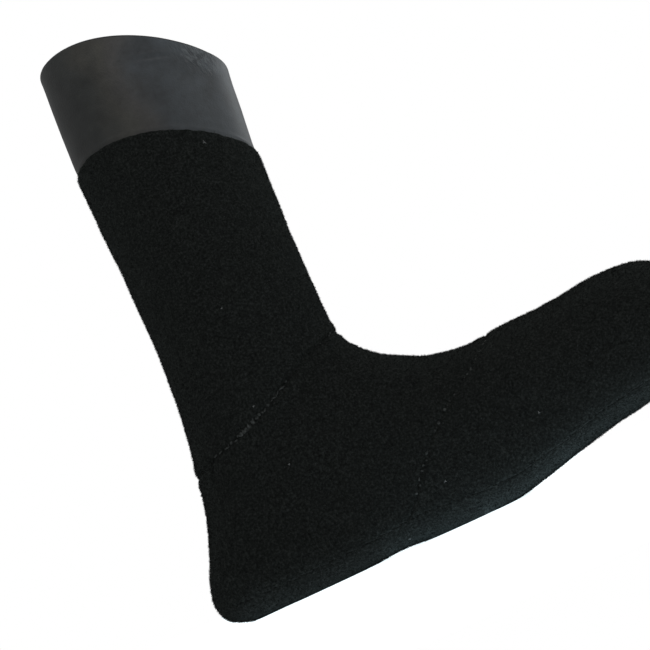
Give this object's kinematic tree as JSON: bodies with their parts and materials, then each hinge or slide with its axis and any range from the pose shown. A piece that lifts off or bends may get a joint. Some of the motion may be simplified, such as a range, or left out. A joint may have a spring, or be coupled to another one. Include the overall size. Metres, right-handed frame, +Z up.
{
  "type": "surf boot",
  "caption": "Ankle-high surf boot turned lining side out: plush upper, toe panel and leg shaft on a thick lined sole, with a smooth ankle seal standing out of a slanted rim",
  "frame": {"origin": "on the floor, in the middle of the heel's flat spot", "axes": "+X from heel to toe, +Y to the outer side of the foot as the boot stands, +Z up"},
  "size_m": [0.2822, 0.1031, 0.295],
  "materials": {
    "upper": "black plush pile",
    "toe_panel": "black plush pile",
    "shaft": "black plush pile",
    "ankle_seal": "satin smooth-skin neoprene",
    "sole": "black plush pile outside, rubber inside"
  },
  "bodies": {
    "root": {"upper": "upper", "toe_panel": "toe_panel", "shaft": "shaft", "ankle_seal": "ankle_seal", "sole": "sole"}
  },
  "joints": []
}
